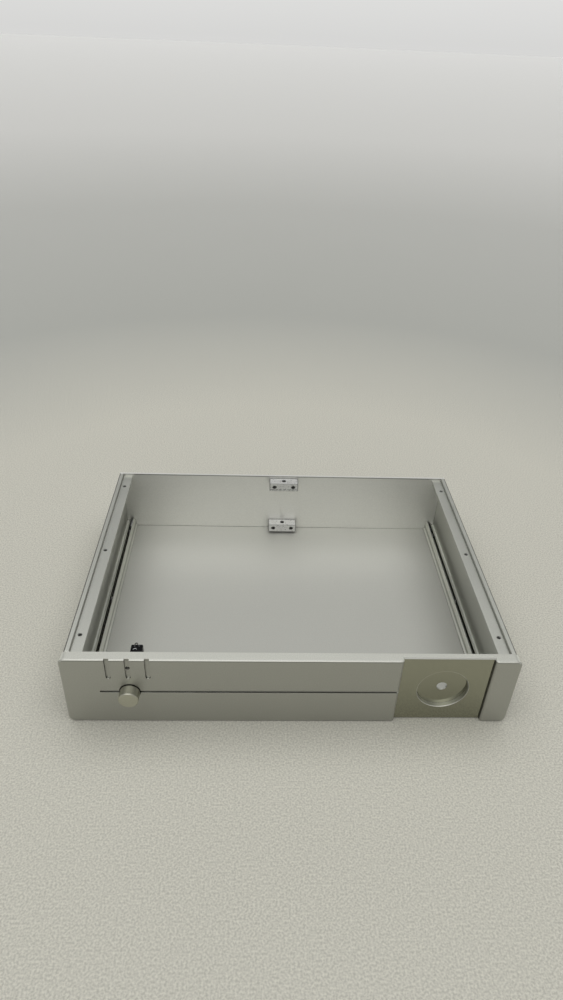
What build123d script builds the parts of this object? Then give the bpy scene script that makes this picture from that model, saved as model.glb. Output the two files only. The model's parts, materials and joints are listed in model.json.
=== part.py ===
from build123d import *
import os

# Low amplifier chassis, open at the top: a thick milled front panel, two extruded
# side panels, a thin rear panel and a bottom plate let in flush between them.
# X runs to the right, Y to the rear and Z up. The origin is on the resting face,
# midway between the sides and midway between the front and rear faces.
# All sizes are in millimetres.

os.makedirs("parts", exist_ok=True)

# Case
case_width = 322.0  # across the front panel
case_height = 64.0
case_depth = 240.0  # front face to rear face, without button and screw heads
panel_thickness = 7.5
panel_overhang = 2.5  # front panel past each side panel
rear_thickness = 2.0
plate_thickness = 2.5  # bottom plate; the seat for a top cover is as deep
plate_clearance = 0.25  # between the bottom plate and the walls round it

# Side extrusion: a wall with a screw rail along its top and bottom edge
wall_thickness = 2.7
rim_thickness = 3.6  # edge of the wall, beside the cover or the plate
wall_edge_break = 0.7
wall_end_break = 0.6  # where the wall meets the front panel
rail_width = 11.0  # outer face of the wall to the inner face of the rail
rail_face = 5.9  # top of the rail's upright inner face above the plate seat
foot_width = 1.2  # foot of the rail, past its inner face
foot_height = 1.25
foot_rise = 1.25  # slope from the foot up to the inner face
rail_crest = 9.1  # crest of the rail's inner lip above the seat
rail_ledge = 6.3  # ledge between rail and wall above the seat
rail_round = 0.4  # crest, knee and foot
ledge_round = 1.5
port_inset = 7.3  # screw port axis from the outer face
port_height = 4.2  # screw port axis above the seat
port_diameter = 3.4
port_slot = 2.3  # mouth of the screw port
lip_width = 0.9  # inner lip, from the port's mouth to the crest
lip_fall = 0.9  # crest down to the inner edge of the mouth
mouth_fall = 0.5  # inner edge of the mouth down to the outer edge
shoulder_width = 1.5  # outer edge of the mouth to the ledge

# Screws that hold the plates
plate_screw_inset = 18.5  # first and last row from the ends of the side panels
plate_screw_rows = 3
tapped_diameter = 3.3
screw_diameter = 3.0
screw_clearance = 0.2  # radial, round a screw in a plain hole
plate_screw_clearance = 0.35  # radial, round the bottom plate's screws
countersink_diameter = 6.0
countersink_clearance = 0.1  # radial, round a countersunk head
countersink_angle = 90.0
button_head_diameter = 5.6
button_head_height = 1.8
button_head_chamfer = 0.7
socket_across_flats = 2.0
socket_depth = 1.0
plate_screw_length = 9.0
rear_screw_length = 12.0

# Front panel
panel_corner = 4.75  # outer corners, seen from the front
panel_chamfer = 0.8
recess_width = 64.4
recess_depth = 3.0
recess_margin = 19.1  # recess floor from the right end of the panel
recess_round = 2.2  # rounded edge between the front face and the recess
pocket_diameter = 37.2
pocket_depth = 3.2
pocket_chamfer = 0.3
shaft_hole_diameter = 7.7
groove_width = 2.0
groove_depth = 1.0
groove_margin = 25.5  # groove from the left end of the panel
slot_width = 3.5
slot_depth = 1.2
slot_length = 18.95  # top edge of the panel to the round end of the slot
slot_pitch = 13.75
slot_count = 3
indicator_diameter = 3.0
indicator_drop = 9.2  # below the top edge of the panel

# Power button and its switch
button_margin = 46.6  # button axis from the left end of the panel
button_diameter = 14.2
button_gap = 0.5  # radial, between button and panel
button_proud = 8.3
button_chamfer = 0.6
button_tail = 1.0  # button past the back of the panel
button_bore = 5.2
button_bore_depth = 9.0
button_travel = 3.0
plunger_width = 3.4
plunger_reach = 8.0  # plunger inside the switch at rest
plunger_clearance = 0.3
spacer_length = 7.0
spacer_diameter = 6.0
switch_width = 8.8
switch_height = 14.0
switch_length = 23.0
switch_chamfer = 0.5
nose_width = 6.4
nose_clearance = 0.1
saddle_thickness = 1.0
saddle_width = 30.0
saddle_height = 12.0
saddle_ear_length = 8.0
saddle_ear_height = 8.0
saddle_hole_pitch = 22.0
saddle_corner = 2.0
saddle_screw_grip = 4.0  # thread in the back of the panel
blind_hole_margin = 1.0  # drilled past the end of a screw
terminal_width = 2.4
terminal_thickness = 0.8
terminal_length = 5.0
terminal_offset = 1.5  # lugs to the left of the button axis
terminal_pitch = 7.0
terminal_eye = 1.2

# Brackets that hold the front panel to the side panels
bracket_leg = 14.0
bracket_thickness = 2.5
bracket_height = 30.0
bracket_round = 1.0
bracket_hole_pitch = 18.0
bracket_hole_inset = 8.0  # hole axis from the bracket's outer corner
bracket_panel_grip = 5.0  # thread in the back of the panel
bracket_wall_grip = 1.8  # thread in the wall, short of its outer face

# Blocks that tie the rear panel to the bottom plate and to a cover
block_width = 27.5
block_depth = 10.0
block_height = 8.5
lower_block_lift = 1.5  # lower block above the bottom plate
block_chamfer = 0.4
block_hole_pitch = 18.0
block_screw_length = 7.5

# Levels and faces that follow from the sizes above
mid_height = case_height / 2
front_y = -case_depth / 2
panel_back_y = front_y + panel_thickness
rear_y = case_depth / 2
rear_inner_y = rear_y - rear_thickness
side_x = case_width / 2 - panel_overhang
wall_inner_x = side_x - wall_thickness
rim_inner_x = side_x - rim_thickness
side_length = rear_inner_y - panel_back_y
port_x = side_x - port_inset
seat_top = case_height - plate_thickness
port_levels = (plate_thickness + port_height, seat_top - port_height)
recess_right = case_width / 2 - recess_margin
knob_x = recess_right - recess_width / 2
recess_left = recess_right - recess_width
recess_floor_y = front_y + recess_depth
pocket_floor_y = recess_floor_y + pocket_depth
button_x = -case_width / 2 + button_margin
saddle_y = panel_back_y + spacer_length
switch_front_y = saddle_y + saddle_thickness
switch_back_y = switch_front_y + switch_length
row_pitch = (side_length - 2 * plate_screw_inset) / (plate_screw_rows - 1)
row_levels = [panel_back_y + plate_screw_inset + row * row_pitch for row in range(plate_screw_rows)]
plate_screw_places = [(side * port_x, y) for side in (-1, 1) for y in row_levels]
rear_screw_places = [(side * port_x, z) for side in (-1, 1) for z in port_levels]
block_y = rear_inner_y - block_depth / 2
block_levels = {
    "upper": seat_top - block_height / 2,
    "lower": plate_thickness + lower_block_lift + block_height / 2,
}
block_screw_places = [
    (side * block_hole_pitch / 2, z) for z in block_levels.values() for side in (-1, 1)
]
saddle_screw_places = [(button_x + side * saddle_hole_pitch / 2, mid_height) for side in (-1, 1)]
bracket_hole_levels = [mid_height + side * bracket_hole_pitch / 2 for side in (-1, 1)]
bracket_hole_x = wall_inner_x - bracket_hole_inset
bracket_hole_y = panel_back_y + bracket_hole_inset
bracket_screw_places = [(side * bracket_hole_x, z) for side in (-1, 1) for z in bracket_hole_levels]


def upright(y):
    """Upright plane across the case at depth y, seen from the front."""
    return Plane.XZ.offset(-y)


def heads_back(places, y):
    """Planes at (x, z) places on the level y, each facing the rear."""
    return [Plane((x, y, z), x_dir=(1, 0, 0), z_dir=(0, 1, 0)) for x, z in places]


def button_head_screw(length, diameter=screw_diameter):
    """Socket screw with a low head above the local plane and its shank below."""
    with BuildPart() as screw:
        Cylinder(button_head_diameter / 2, button_head_height, align=(Align.CENTER, Align.CENTER, Align.MIN))
        chamfer(screw.edges().group_by(Axis.Z)[-1], button_head_chamfer)
        with BuildSketch(Plane.XY.offset(button_head_height)):
            RegularPolygon(socket_across_flats / 2, 6, major_radius=False)
        extrude(amount=-socket_depth, mode=Mode.SUBTRACT)
        Cylinder(diameter / 2, length, align=(Align.CENTER, Align.CENTER, Align.MAX))
    return screw.part


def countersunk_screw(length):
    """Socket screw whose flat head is level with the local plane."""
    head_height = (countersink_diameter - screw_diameter) / 2
    with BuildPart() as screw:
        Cylinder(screw_diameter / 2, length, align=(Align.CENTER, Align.CENTER, Align.MAX))
        with Locations((0, 0, -head_height)):
            Cone(
                screw_diameter / 2,
                countersink_diameter / 2,
                head_height,
                align=(Align.CENTER, Align.CENTER, Align.MIN),
            )
        with BuildSketch():
            RegularPolygon(socket_across_flats / 2, 6, major_radius=False)
        extrude(amount=-socket_depth, mode=Mode.SUBTRACT)
    return screw.part


# Front panel: one plan outline with the knob recess stepped into it, then the cuts
panel_left = -case_width / 2
panel_right = case_width / 2
with BuildPart() as front_panel:
    with BuildSketch() as panel_plan:
        with BuildLine():
            Polyline(
                (panel_left, panel_back_y),
                (panel_left, front_y),
                (recess_left, front_y),
                (recess_left, recess_floor_y),
                (recess_right, recess_floor_y),
                (recess_right, front_y),
                (panel_right, front_y),
                (panel_right, panel_back_y),
                close=True,
            )
        make_face()
        front_corners = panel_plan.vertices().group_by(Axis.Y)[0].sort_by(Axis.X)
        fillet(front_corners[1:-1], recess_round)
    extrude(amount=case_height)
    end_zone_x = (recess_right + panel_right) / 2
    end_edges = front_panel.edges().filter_by(Axis.Y).filter_by(lambda edge: abs(edge.center().X) > end_zone_x)
    fillet(end_edges, panel_corner)

    # Chamfer round the whole front outline, in and out of the recess
    front_edges = front_panel.edges().filter_by(lambda edge: edge.center().Y < panel_back_y - panel_chamfer)
    end_seams = front_edges.filter_by(Axis.Y).filter_by(lambda edge: abs(edge.center().X) > end_zone_x)
    inner_uprights = front_edges.filter_by(Axis.Z).filter_by(lambda edge: abs(edge.center().X) < end_zone_x)
    chamfer(front_edges - end_seams - inner_uprights, panel_chamfer)

    # Round pocket for a sunk knob, with the hole for its shaft
    with BuildSketch(upright(recess_floor_y)):
        with Locations((knob_x, mid_height)):
            Circle(pocket_diameter / 2)
    extrude(amount=-pocket_depth, mode=Mode.SUBTRACT)
    pocket_rim = front_panel.edges().filter_by(GeomType.CIRCLE).filter_by(
        lambda edge: abs(edge.radius - pocket_diameter / 2) < pocket_chamfer
    )
    chamfer(pocket_rim.sort_by(Axis.Y)[0], pocket_chamfer)
    with BuildSketch(upright(pocket_floor_y)):
        with Locations((knob_x, mid_height)):
            Circle(shaft_hole_diameter / 2)
    extrude(amount=-panel_thickness, mode=Mode.SUBTRACT)

    # Groove at mid height, from its round left end into the recess
    groove_left = panel_left + groove_margin + groove_width / 2
    with BuildSketch(upright(front_y)):
        with Locations(((groove_left + knob_x) / 2, mid_height)):
            Rectangle(knob_x - groove_left, groove_width)
        with Locations((groove_left, mid_height)):
            Circle(groove_width / 2)
    extrude(amount=-groove_depth, mode=Mode.SUBTRACT)

    # Upright slots, open at the top edge
    slot_end = case_height - slot_length + slot_width / 2
    with BuildSketch(upright(front_y)):
        with Locations((button_x, 0)):
            with GridLocations(slot_pitch, 0, slot_count, 1):
                with Locations((0, (slot_end + case_height) / 2)):
                    Rectangle(slot_width, case_height - slot_end)
                with Locations((0, slot_end)):
                    Circle(slot_width / 2)
    extrude(amount=-slot_depth, mode=Mode.SUBTRACT)

    # Through holes for the indicator lamp and the power button
    with BuildSketch(upright(front_y)):
        with Locations((button_x, case_height - indicator_drop)):
            Circle(indicator_diameter / 2)
        with Locations((button_x, mid_height)):
            Circle(button_diameter / 2 + button_gap)
    extrude(amount=-panel_thickness, mode=Mode.SUBTRACT)

    # Blind tapped holes in the back for the brackets and the switch saddle
    with BuildSketch(upright(panel_back_y)):
        with Locations(*bracket_screw_places):
            Circle(tapped_diameter / 2)
    extrude(amount=bracket_panel_grip + blind_hole_margin, mode=Mode.SUBTRACT)
    with BuildSketch(upright(panel_back_y)):
        with Locations(*saddle_screw_places):
            Circle(tapped_diameter / 2)
    extrude(amount=saddle_screw_grip + blind_hole_margin, mode=Mode.SUBTRACT)
front_panel.part.label = "front_panel"
export_step(front_panel.part, "parts/front_panel.step")

# Right side panel: half the section is drawn and mirrored about mid height
rail_inner_x = side_x - rail_width
foot_x = rail_inner_x - foot_width
mouth_inner_x = port_x - port_slot / 2
mouth_outer_x = port_x + port_slot / 2
crest_z = plate_thickness + rail_crest
ledge_z = plate_thickness + rail_ledge
with BuildPart() as right_side_panel:
    with BuildSketch(upright(panel_back_y)) as side_section:
        with BuildLine():
            Polyline(
                (side_x, mid_height),
                (side_x, 0),
                (rim_inner_x, 0),
                (rim_inner_x, plate_thickness),
                (foot_x, plate_thickness),
                (foot_x, plate_thickness + foot_height),
                (rail_inner_x, plate_thickness + foot_height + foot_rise),
                (rail_inner_x, plate_thickness + rail_face),
                (mouth_inner_x - lip_width, crest_z),
                (mouth_inner_x, crest_z - lip_fall),
                (mouth_outer_x, crest_z - lip_fall - mouth_fall),
                (mouth_outer_x + shoulder_width, ledge_z),
                (wall_inner_x, ledge_z),
                (wall_inner_x, mid_height),
                close=True,
            )
        make_face()
        corners = side_section.vertices()
        crest = corners.sort_by_distance((mouth_inner_x - lip_width, crest_z))[0]
        knee = corners.sort_by_distance((rail_inner_x, plate_thickness + rail_face))[0]
        toe = corners.sort_by_distance((foot_x, plate_thickness))[0]
        fillet([crest, knee, toe], rail_round)
        fillet(side_section.vertices().sort_by_distance((wall_inner_x, ledge_z))[0], ledge_round)
        chamfer(side_section.vertices().sort_by_distance((side_x, 0))[0], wall_edge_break)
        port_z = port_levels[0]
        with Locations((port_x, port_z)):
            Circle(port_diameter / 2, mode=Mode.SUBTRACT)
            Rectangle(port_slot, case_height / 4, align=(Align.CENTER, Align.MIN), mode=Mode.SUBTRACT)
        mirror(about=Plane.XZ.offset(-mid_height))
    extrude(amount=-side_length)

    # Edge break round the front end of the wall
    front_end = right_side_panel.faces().sort_by(Axis.Y)[0]
    outer_zone_x = (wall_inner_x + side_x - wall_edge_break) / 2
    wall_end = front_end.edges().filter_by(lambda edge: edge.bounding_box().max.X > outer_zone_x)
    chamfer(wall_end, wall_end_break)

    # Tapped holes for the cover screws in the upper rail, then for the plate screws in the lower
    for level in (mid_height, 0):
        with Locations(*[(port_x, y, level) for y in row_levels]):
            Cylinder(
                tapped_diameter / 2,
                mid_height,
                align=(Align.CENTER, Align.CENTER, Align.MIN),
                mode=Mode.SUBTRACT,
            )

    # Blind tapped holes for the bracket screws
    with BuildSketch(Plane.YZ.offset(wall_inner_x)):
        with Locations(*[(bracket_hole_y, z) for z in bracket_hole_levels]):
            Circle(tapped_diameter / 2)
    extrude(amount=bracket_wall_grip, mode=Mode.SUBTRACT)
right_side_panel.part.label = "right_side_panel"
export_step(right_side_panel.part, "parts/right_side_panel.step")

with BuildPart() as left_side_panel:
    mirror(right_side_panel.part, about=Plane.YZ)
left_side_panel.part.label = "left_side_panel"
export_step(left_side_panel.part, "parts/left_side_panel.step")

# Rear panel across the ends of the side panels
with BuildPart() as rear_panel:
    with BuildSketch(upright(rear_inner_y)):
        with Locations((0, mid_height)):
            Rectangle(2 * side_x, case_height)
        with Locations(*rear_screw_places):
            Circle(port_diameter / 2, mode=Mode.SUBTRACT)
        with Locations(*block_screw_places):
            Circle(screw_diameter / 2 + screw_clearance, mode=Mode.SUBTRACT)
    extrude(amount=-rear_thickness)
rear_panel.part.label = "rear_panel"
export_step(rear_panel.part, "parts/rear_panel.step")

# Bottom plate, let in flush under the rails and countersunk from below
lower_block_screw = (0, block_y)
with BuildPart() as bottom_plate:
    with BuildSketch():
        with Locations((0, (panel_back_y + rear_inner_y) / 2)):
            Rectangle(2 * (rim_inner_x - plate_clearance), side_length - 2 * plate_clearance)
    extrude(amount=plate_thickness)
    undersides = [Plane((x, y, 0), z_dir=(0, 0, -1)) for x, y in plate_screw_places + [lower_block_screw]]
    with Locations(*undersides):
        CounterSinkHole(
            screw_diameter / 2 + plate_screw_clearance,
            countersink_diameter / 2 + countersink_clearance,
            counter_sink_angle=countersink_angle,
        )
bottom_plate.part.label = "bottom_plate"
export_step(bottom_plate.part, "parts/bottom_plate.step")


def rear_block(level):
    """Milled block with two holes from the rear panel and one from the plate or cover."""
    with BuildPart() as block:
        with Locations((0, block_y, level)):
            Box(block_width, block_depth, block_height)
        chamfer(block.edges(), block_chamfer)
        with BuildSketch(upright(rear_inner_y)):
            with Locations((0, level)):
                with GridLocations(block_hole_pitch, 0, 2, 1):
                    Circle(tapped_diameter / 2)
        extrude(amount=block_depth, mode=Mode.SUBTRACT)
        with Locations((0, block_y, level)):
            Cylinder(tapped_diameter / 2, block_height, mode=Mode.SUBTRACT)
    return block.part


upper_rear_block = rear_block(block_levels["upper"])
upper_rear_block.label = "upper_rear_block"
export_step(upper_rear_block, "parts/upper_rear_block.step")
lower_rear_block = rear_block(block_levels["lower"])
lower_rear_block.label = "lower_rear_block"
export_step(lower_rear_block, "parts/lower_rear_block.step")

# Right front bracket: an angle between the back of the panel and the wall
with BuildPart() as right_front_bracket:
    with BuildSketch(Plane.XY.offset(mid_height - bracket_height / 2)) as angle_section:
        with BuildLine():
            Polyline(
                (wall_inner_x, panel_back_y),
                (wall_inner_x - bracket_leg, panel_back_y),
                (wall_inner_x - bracket_leg, panel_back_y + bracket_thickness),
                (wall_inner_x - bracket_thickness, panel_back_y + bracket_thickness),
                (wall_inner_x - bracket_thickness, panel_back_y + bracket_leg),
                (wall_inner_x, panel_back_y + bracket_leg),
                close=True,
            )
        make_face()
        heel = (wall_inner_x - bracket_thickness, panel_back_y + bracket_thickness)
        fillet(angle_section.vertices().sort_by_distance(heel)[0], bracket_round)
    extrude(amount=bracket_height)
    with BuildSketch(upright(panel_back_y)):
        with Locations(*[(bracket_hole_x, z) for z in bracket_hole_levels]):
            Circle(screw_diameter / 2 + screw_clearance)
    extrude(amount=-bracket_thickness, mode=Mode.SUBTRACT)
    with BuildSketch(Plane.YZ.offset(wall_inner_x)):
        with Locations(*[(bracket_hole_y, z) for z in bracket_hole_levels]):
            Circle(screw_diameter / 2 + screw_clearance)
    extrude(amount=-bracket_thickness, mode=Mode.SUBTRACT)
right_front_bracket.part.label = "right_front_bracket"
export_step(right_front_bracket.part, "parts/right_front_bracket.step")

with BuildPart() as left_front_bracket:
    mirror(right_front_bracket.part, about=Plane.YZ)
left_front_bracket.part.label = "left_front_bracket"
export_step(left_front_bracket.part, "parts/left_front_bracket.step")

# Power button, turned, with a bore in its tail for the plunger
button_front_y = front_y - button_proud
button_tail_y = panel_back_y + button_tail
bore_end_y = button_tail_y - button_bore_depth
with BuildPart() as power_button:
    with BuildSketch(upright(button_front_y)):
        with Locations((button_x, mid_height)):
            Circle(button_diameter / 2)
    extrude(amount=-(button_tail_y - button_front_y))
    chamfer(power_button.edges().sort_by(Axis.Y)[0], button_chamfer)
    with BuildSketch(upright(button_tail_y)):
        with Locations((button_x, mid_height)):
            Circle(button_bore / 2)
    extrude(amount=button_bore_depth, mode=Mode.SUBTRACT)
power_button.part.label = "power_button"
export_step(power_button.part, "parts/power_button.step")

with BuildPart() as switch_plunger:
    with BuildSketch(upright(bore_end_y)):
        with Locations((button_x, mid_height)):
            Rectangle(plunger_width, plunger_width)
    extrude(amount=-(switch_front_y + plunger_reach - bore_end_y))
switch_plunger.part.label = "switch_plunger"
export_step(switch_plunger.part, "parts/switch_plunger.step")

# Switch housing with a nose through the saddle and a blind way for the plunger
with BuildPart() as switch_housing:
    with BuildSketch(upright(switch_front_y)):
        with Locations((button_x, mid_height)):
            Rectangle(switch_width, switch_height)
    extrude(amount=-switch_length)
    chamfer(switch_housing.edges().filter_by(Axis.Y), switch_chamfer)
    with BuildSketch(upright(saddle_y)):
        with Locations((button_x, mid_height)):
            Rectangle(nose_width, nose_width)
    extrude(amount=-saddle_thickness)
    with BuildSketch(upright(saddle_y)):
        with Locations((button_x, mid_height)):
            plunger_way = plunger_width + 2 * plunger_clearance
            Rectangle(plunger_way, plunger_way)
    way_depth = saddle_thickness + plunger_reach + button_travel + plunger_clearance
    extrude(amount=-way_depth, mode=Mode.SUBTRACT)
switch_housing.part.label = "switch_housing"
export_step(switch_housing.part, "parts/switch_housing.step")

# Switch saddle: a folded strip with a window for the nose and ears along the housing
with BuildPart() as switch_saddle:
    with BuildSketch(upright(saddle_y)):
        with Locations((button_x, mid_height)):
            RectangleRounded(saddle_width, saddle_height, saddle_corner)
            window = nose_width + 2 * nose_clearance
            Rectangle(window, window, mode=Mode.SUBTRACT)
        with Locations(*saddle_screw_places):
            Circle(screw_diameter / 2 + screw_clearance, mode=Mode.SUBTRACT)
    extrude(amount=-saddle_thickness)
    with BuildSketch(upright(switch_front_y)):
        with Locations((button_x, mid_height)):
            with GridLocations(switch_width + saddle_thickness, 0, 2, 1):
                Rectangle(saddle_thickness, saddle_ear_height)
    extrude(amount=-saddle_ear_length)
switch_saddle.part.label = "switch_saddle"
export_step(switch_saddle.part, "parts/switch_saddle.step")

with BuildPart() as switch_spacers:
    with BuildSketch(upright(panel_back_y)):
        with Locations(*saddle_screw_places):
            Circle(spacer_diameter / 2)
            Circle(screw_diameter / 2 + screw_clearance, mode=Mode.SUBTRACT)
    extrude(amount=-spacer_length)
switch_spacers.part.label = "switch_spacers"
export_step(switch_spacers.part, "parts/switch_spacers.step")

# Solder lugs, flat, one above the other
terminal_x = button_x - terminal_offset
with BuildPart() as switch_terminals:
    for side in (-1, 1):
        lug_level = mid_height + side * terminal_pitch / 2
        with BuildSketch(Plane.XY.offset(lug_level - terminal_thickness / 2)):
            with Locations((terminal_x, switch_back_y)):
                Rectangle(terminal_width, terminal_length, align=(Align.CENTER, Align.MIN))
                with Locations((0, terminal_length - terminal_width / 2)):
                    Circle(terminal_eye / 2, mode=Mode.SUBTRACT)
        extrude(amount=terminal_thickness)
switch_terminals.part.label = "switch_terminals"
export_step(switch_terminals.part, "parts/switch_terminals.step")

# Fasteners, grouped by what they hold
with BuildPart() as bottom_plate_screws:
    with Locations(*undersides):
        add(countersunk_screw(plate_screw_length))
bottom_plate_screws.part.label = "bottom_plate_screws"
export_step(bottom_plate_screws.part, "parts/bottom_plate_screws.step")

port_screw_diameter = port_diameter - screw_clearance
with BuildPart() as rear_panel_screws:
    with Locations(*heads_back(rear_screw_places, rear_y)):
        add(button_head_screw(rear_screw_length, port_screw_diameter))
rear_panel_screws.part.label = "rear_panel_screws"
export_step(rear_panel_screws.part, "parts/rear_panel_screws.step")

with BuildPart() as block_screws:
    with Locations(*heads_back(block_screw_places, rear_y)):
        add(button_head_screw(block_screw_length))
block_screws.part.label = "block_screws"
export_step(block_screws.part, "parts/block_screws.step")

with BuildPart() as bracket_panel_screws:
    with Locations(*heads_back(bracket_screw_places, panel_back_y + bracket_thickness)):
        add(button_head_screw(bracket_thickness + bracket_panel_grip))
bracket_panel_screws.part.label = "bracket_panel_screws"
export_step(bracket_panel_screws.part, "parts/bracket_panel_screws.step")

with BuildPart() as bracket_wall_screws:
    for side in (-1, 1):
        head_x = side * (wall_inner_x - bracket_thickness)
        inward = [Plane((head_x, bracket_hole_y, z), z_dir=(-side, 0, 0)) for z in bracket_hole_levels]
        with Locations(*inward):
            add(button_head_screw(bracket_thickness + bracket_wall_grip))
bracket_wall_screws.part.label = "bracket_wall_screws"
export_step(bracket_wall_screws.part, "parts/bracket_wall_screws.step")

saddle_screw_length = saddle_thickness + spacer_length + saddle_screw_grip
with BuildPart() as switch_screws:
    with Locations(*heads_back(saddle_screw_places, switch_front_y)):
        add(button_head_screw(saddle_screw_length))
switch_screws.part.label = "switch_screws"
export_step(switch_screws.part, "parts/switch_screws.step")
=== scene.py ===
"""Open chassis of a low amplifier, dressed for its render.

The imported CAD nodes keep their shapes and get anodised, milled and plated finishes. Screws, tapped
threads and the switch behind the front panel are modelled here in finer detail. Lengths are in
millimetres in the frame of the CAD model, and a mesh is brought to metres when its piece is finished.
"""

import json
import logging
import math
from dataclasses import dataclass
from enum import Enum
from typing import Any, Iterable, Mapping, Sequence, Union

import bmesh
import bpy
from mathutils import Matrix, Vector


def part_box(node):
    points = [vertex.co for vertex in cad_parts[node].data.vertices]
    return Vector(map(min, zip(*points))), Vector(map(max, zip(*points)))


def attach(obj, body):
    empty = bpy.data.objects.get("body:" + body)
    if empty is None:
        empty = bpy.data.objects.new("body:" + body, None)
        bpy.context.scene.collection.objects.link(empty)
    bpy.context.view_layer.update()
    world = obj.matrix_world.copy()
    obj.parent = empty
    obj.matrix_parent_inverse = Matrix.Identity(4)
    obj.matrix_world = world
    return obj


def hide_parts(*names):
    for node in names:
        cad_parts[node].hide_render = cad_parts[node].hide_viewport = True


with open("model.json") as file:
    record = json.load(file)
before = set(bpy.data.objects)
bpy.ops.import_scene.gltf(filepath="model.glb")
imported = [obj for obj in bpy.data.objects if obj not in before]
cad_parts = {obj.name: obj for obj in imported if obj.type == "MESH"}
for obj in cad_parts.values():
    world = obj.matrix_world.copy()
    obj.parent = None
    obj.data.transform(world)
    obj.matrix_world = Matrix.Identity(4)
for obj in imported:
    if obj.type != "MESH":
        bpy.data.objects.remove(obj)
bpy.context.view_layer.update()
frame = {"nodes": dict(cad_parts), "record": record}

LOG = logging.getLogger("chassis")

MM = 0.001
NEAR = 0.001  # millimetres within which two places are one
ROUND = 36  # segments of a turned shape
SIDES = (-1, 1)  # left and right, lower and upper, or darker and lighter
UP = Vector((0.0, 0.0, 1.0))
REAR = Vector((0.0, 1.0, 0.0))

Colour = tuple[float, float, float]
Place = tuple[float, float, float]
Station = tuple[float, float]  # radius and height of a loop
Span = tuple[float, float]  # values over which a mask rises or falls
Loop = list[bmesh.types.BMEdge]
Socket = bpy.types.NodeSocket


class Body(Enum):
    """Body of the mechanism that the new pieces ride on."""

    CHASSIS = "chassis"


class Slot(Enum):
    """Material slots of the record."""

    BARE = "bare_aluminium"
    ZINC = "zinc_steel"
    BLACK = "black_plastic"
    TINNED = "tinned_brass"


class Along(Enum):
    """Direction in which a surface was drawn, rolled or milled."""

    X = (1.0, 0.0, 0.0)
    Y = (0.0, 1.0, 0.0)
    Z = (0.0, 0.0, 1.0)


class HeadForm(Enum):
    """Head of a socket screw."""

    DOMED = "domed"
    COUNTERSUNK = "countersunk"


class Signal:
    """A value on a shader socket that takes part in Python arithmetic."""

    def __init__(self, graph: "ShaderGraph", socket: Socket) -> None:
        """Hold the socket and the graph that it belongs to."""
        self.graph = graph
        self.socket = socket

    def _math(self, operation: str, *terms: "Operand") -> "Signal":
        """Add one Math node.

        Args:
            operation: Name of the Math node's operation.
            terms: Values or signals, in the order of the node's sockets.

        Returns:
            The node's result.
        """
        node = self.graph.add("ShaderNodeMath", {"operation": operation}, dict(enumerate(terms)))
        return Signal(self.graph, node.outputs[0])

    def __add__(self, other: "Operand") -> "Signal":
        """Add."""
        return self._math("ADD", self, other)

    def __radd__(self, other: "Operand") -> "Signal":
        """Add, with the plain number first."""
        return self._math("ADD", other, self)

    def __sub__(self, other: "Operand") -> "Signal":
        """Subtract."""
        return self._math("SUBTRACT", self, other)

    def __rsub__(self, other: "Operand") -> "Signal":
        """Subtract from a plain number."""
        return self._math("SUBTRACT", other, self)

    def __mul__(self, other: "Operand") -> "Signal":
        """Multiply."""
        return self._math("MULTIPLY", self, other)

    def __rmul__(self, other: "Operand") -> "Signal":
        """Multiply, with the plain number first."""
        return self._math("MULTIPLY", other, self)

    def __truediv__(self, other: "Operand") -> "Signal":
        """Divide."""
        return self._math("DIVIDE", self, other)

    def __rtruediv__(self, other: "Operand") -> "Signal":
        """Divide a plain number."""
        return self._math("DIVIDE", other, self)

    def __pow__(self, other: "Operand") -> "Signal":
        """Raise to a power."""
        return self._math("POWER", self, other)

    def __neg__(self) -> "Signal":
        """Change the sign."""
        return self._math("MULTIPLY", self, -1.0)

    def __abs__(self) -> "Signal":
        """Take the size without its sign."""
        return self._math("ABSOLUTE", self)

    def peak(self, other: "Operand") -> "Signal":
        """Take the larger of two values."""
        return self._math("MAXIMUM", self, other)

    def sine(self) -> "Signal":
        """Take the sine of an angle in radians."""
        return self._math("SINE", self)

    def step(self, low: float, high: float) -> "Signal":
        """Rise smoothly from 0 at low to 1 at high.

        Args:
            low: Value where the rise starts.
            high: Value where it ends.

        Returns:
            The eased signal, from 0 to 1.
        """
        node = self.graph.add(
            "ShaderNodeMapRange",
            {"interpolation_type": "SMOOTHSTEP"},
            {"Value": self, "From Min": low, "From Max": high},
        )
        return Signal(self.graph, node.outputs["Result"])

    def fall(self, low: float, high: float) -> "Signal":
        """Fall smoothly from 1 at low to 0 at high."""
        return 1.0 - self.step(low, high)

    def band(self, rise: Span, fall: Span) -> "Signal":
        """Rise from 0 to 1 over one span, and fall back over a later one."""
        return self.step(*rise) * self.fall(*fall)


Operand = Union[Signal, float, int]


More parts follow.
